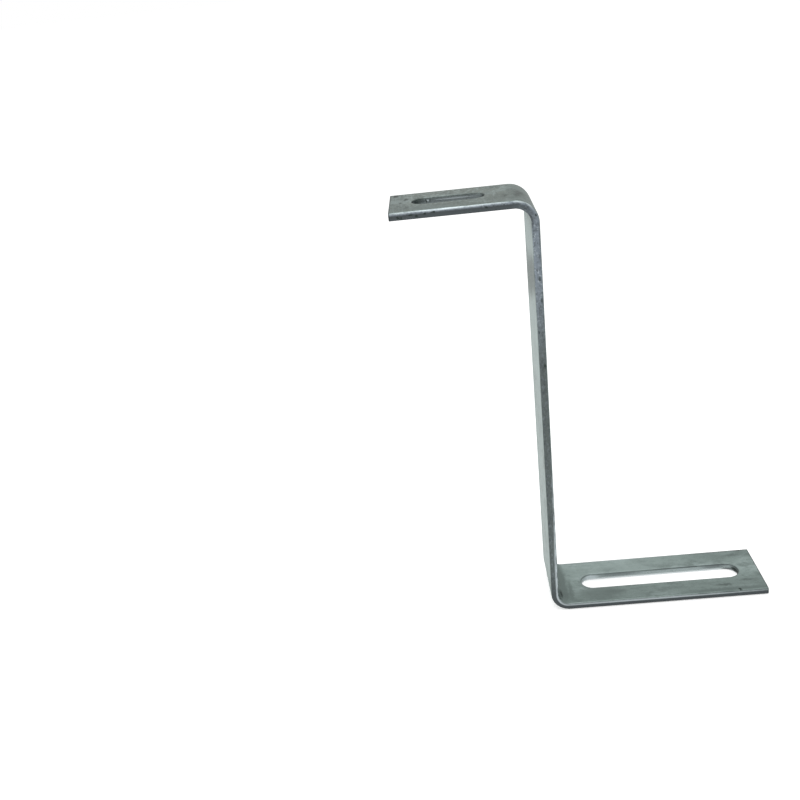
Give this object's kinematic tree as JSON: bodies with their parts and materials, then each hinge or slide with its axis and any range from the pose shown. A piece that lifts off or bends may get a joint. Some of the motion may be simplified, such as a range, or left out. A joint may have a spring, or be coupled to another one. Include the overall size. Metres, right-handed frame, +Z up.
{
  "type": "angle bracket",
  "caption": "Z-shaped angle bracket of galvanised flat bar, with a slotted foot and a slotted top flange, for bolting a part at an offset from its base.",
  "frame": {"origin": "middle of the foot's slot, on the plane of the foot's underside", "axes": "+Z up, from the foot to the top flange; +Y along the foot, away from the leg, with the top flange running the other way; X across the bar"},
  "size_m": [0.0408, 0.184, 0.23],
  "materials": {
    "zinc_coated_steel": "galvanised, satin grey with a dull mottle and bright worn edges"
  },
  "bodies": {
    "root": {"bracket": "zinc_coated_steel"}
  },
  "joints": []
}
